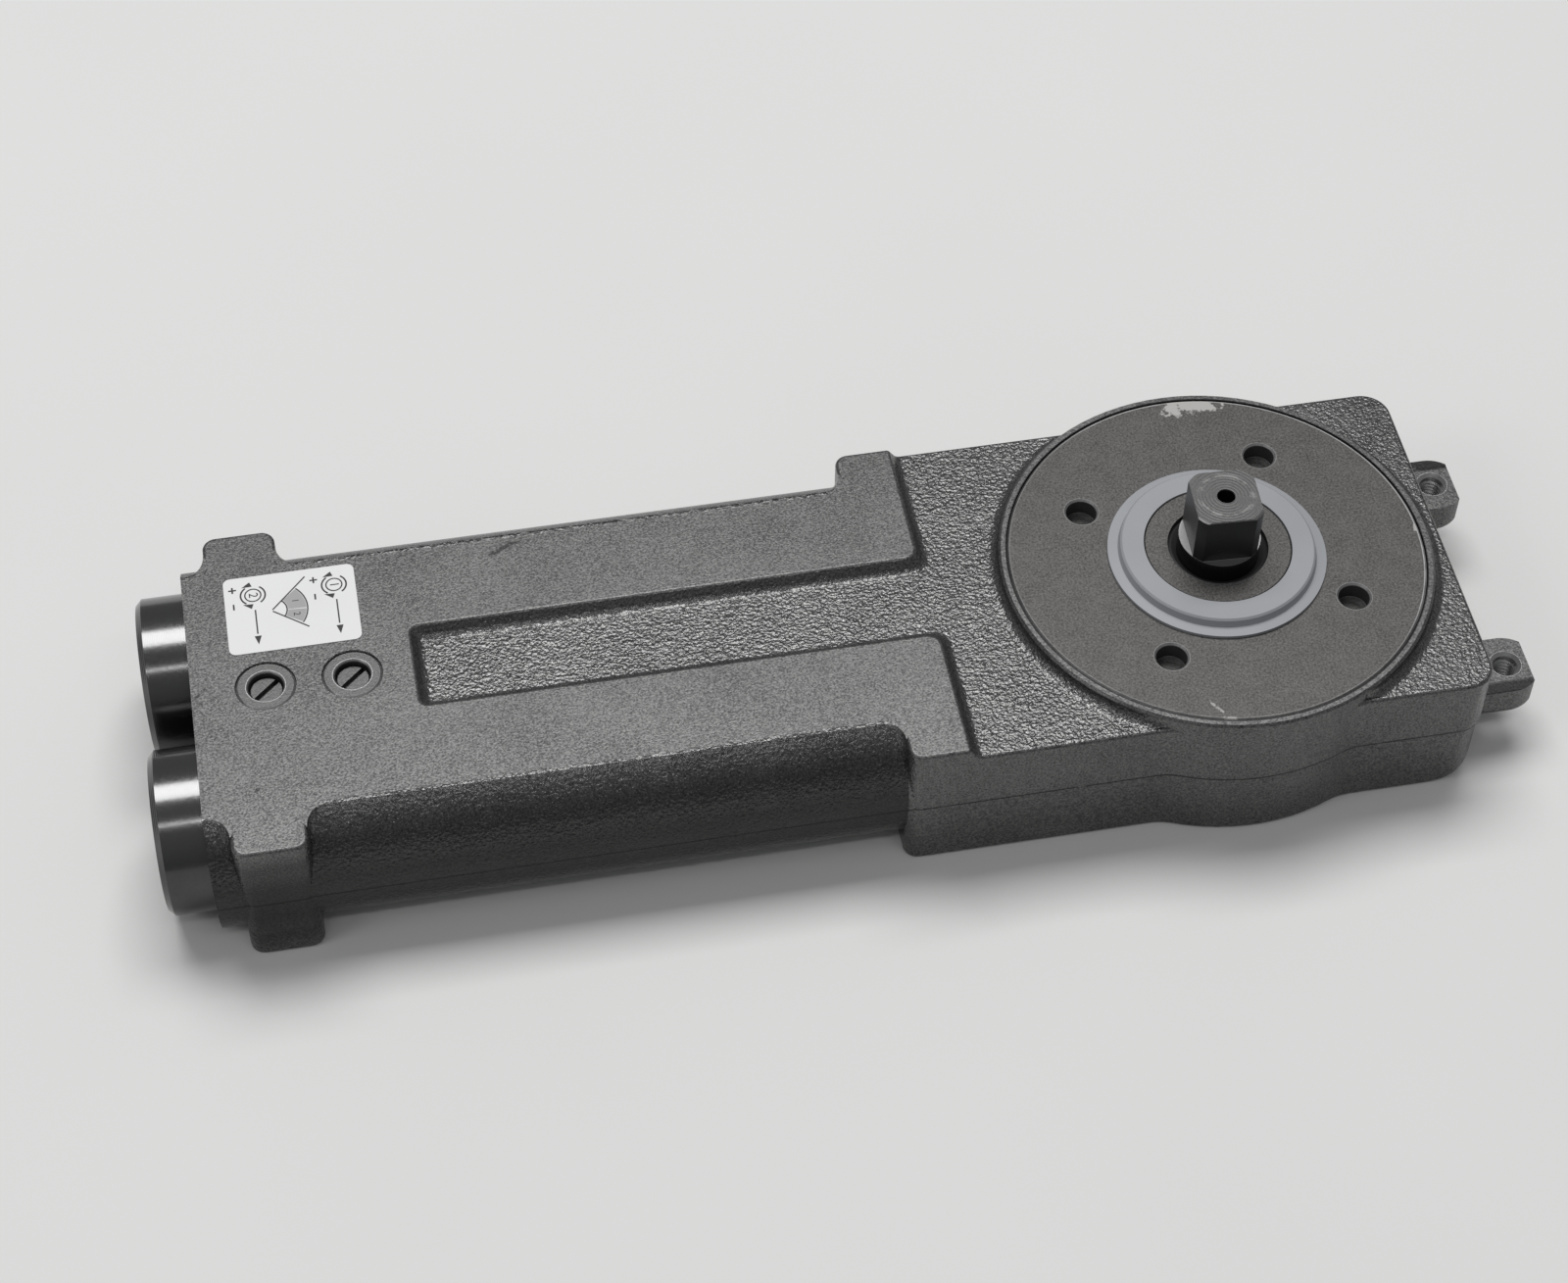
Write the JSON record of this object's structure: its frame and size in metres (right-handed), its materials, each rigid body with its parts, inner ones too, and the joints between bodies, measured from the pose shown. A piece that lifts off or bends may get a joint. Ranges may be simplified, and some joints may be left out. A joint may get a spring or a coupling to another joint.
{
  "type": "overhead door closer",
  "caption": "Concealed overhead door closer: cast twin-barrel body with a screwed round cover, square drive spindle, heart cam and spring-loaded pistons, end caps, speed valves and tapped lugs.",
  "frame": {"origin": "spindle axis on the flat base face", "axes": "+X from the end caps towards the lugs, +Y across to the label side, +Z along the spindle out of the cover"},
  "size_m": [0.2856, 0.091, 0.0536],
  "materials": {
    "casting_paint": "satin dark grey paint over an as-cast skin",
    "cover_steel": "dark gunmetal, worn at the rim",
    "black_oxide": "turned, oiled black oxide",
    "spindle_steel": "black oxide, bright on milled edges",
    "grey_plastic": "matt moulded",
    "seal_rubber": "matt",
    "valve_steel": "turned steel",
    "bronze": "turned bronze",
    "inner_steel": "ground steel, oiled",
    "ring_plastic": "matt",
    "spring_steel": "oil tempered wire",
    "label_paper": "printed matt film"
  },
  "bodies": {
    "housing": {"body_casting": "casting_paint", "cover_plate": "cover_steel", "cover_o_ring": "seal_rubber", "cover_bush": "bronze", "shaft_seal": "seal_rubber", "dust_ring": "grey_plastic", "lower_bush": "bronze", "thrust_washer": "bronze", "near_end_cap": "black_oxide", "far_end_cap": "black_oxide", "end_cap_o_rings": "seal_rubber", "closing_valve_bush": "valve_steel", "latching_valve_bush": "valve_steel", "valve_label": "label_paper", "near_spring": "spring_steel", "far_spring": "spring_steel"},
    "spindle": {"spindle": "spindle_steel", "heart_cam": "inner_steel", "cam_key": "inner_steel"},
    "carriage": {"upper_slide_plate": "inner_steel", "lower_slide_plate": "inner_steel", "crosshead": "inner_steel", "plate_screws": "inner_steel", "roller_pin": "inner_steel", "near_pull_rod": "inner_steel", "far_pull_rod": "inner_steel", "rod_nuts": "inner_steel", "near_piston": "inner_steel", "far_piston": "inner_steel", "piston_rings": "ring_plastic", "check_balls": "inner_steel"},
    "roller": {"cam_roller": "inner_steel"},
    "closing_valve_ring": {"closing_valve_o_ring": "seal_rubber"},
    "closing_valve": {"closing_valve_screw": "valve_steel"},
    "latching_valve_ring": {"latching_valve_o_ring": "seal_rubber"},
    "latching_valve": {"latching_valve_screw": "valve_steel"}
  },
  "joints": [
    {"name": "spindle_turn", "type": "hinge", "parent": "housing", "child": "spindle", "pos_m": [0, 0, 0.0175], "axis": [0, 0, 1], "range_deg": [0, 105]},
    {"name": "carriage_slide", "type": "slide", "parent": "housing", "child": "carriage", "axis": [1, 0, 0], "range_m": [0, 0.014], "stiffness_N_per_m": 6000, "springref_m": -0.03, "deforming": ["near_spring", "far_spring"]},
    {"name": "roller_spin", "type": "hinge", "parent": "carriage", "child": "roller", "pos_m": [0.0171, 0, 0.0175], "axis": [0, 0, 1], "continuous": true},
    {"name": "closing_valve_lift", "type": "slide", "parent": "housing", "child": "closing_valve_ring", "axis": [0, 0, 1], "range_m": [-0.00056, 0.00056]},
    {"name": "closing_valve_turn", "type": "hinge", "parent": "closing_valve_ring", "child": "closing_valve", "pos_m": [-0.1805, 0, 0.0334], "axis": [0, 0, 1], "range_deg": [-270, 270]},
    {"name": "latching_valve_lift", "type": "slide", "parent": "housing", "child": "latching_valve_ring", "axis": [0, 0, 1], "range_m": [-0.00056, 0.00056]},
    {"name": "latching_valve_turn", "type": "hinge", "parent": "latching_valve_ring", "child": "latching_valve", "pos_m": [-0.198, 0, 0.0334], "axis": [0, 0, 1], "range_deg": [-270, 270]}
  ],
  "couplings": [
    {"joint": "spindle_turn", "follows": "carriage_slide", "rad_per_m": 130.89},
    {"joint": "closing_valve_turn", "follows": "closing_valve_lift", "rad_per_m": 8340},
    {"joint": "latching_valve_turn", "follows": "latching_valve_lift", "rad_per_m": 8340}
  ]
}
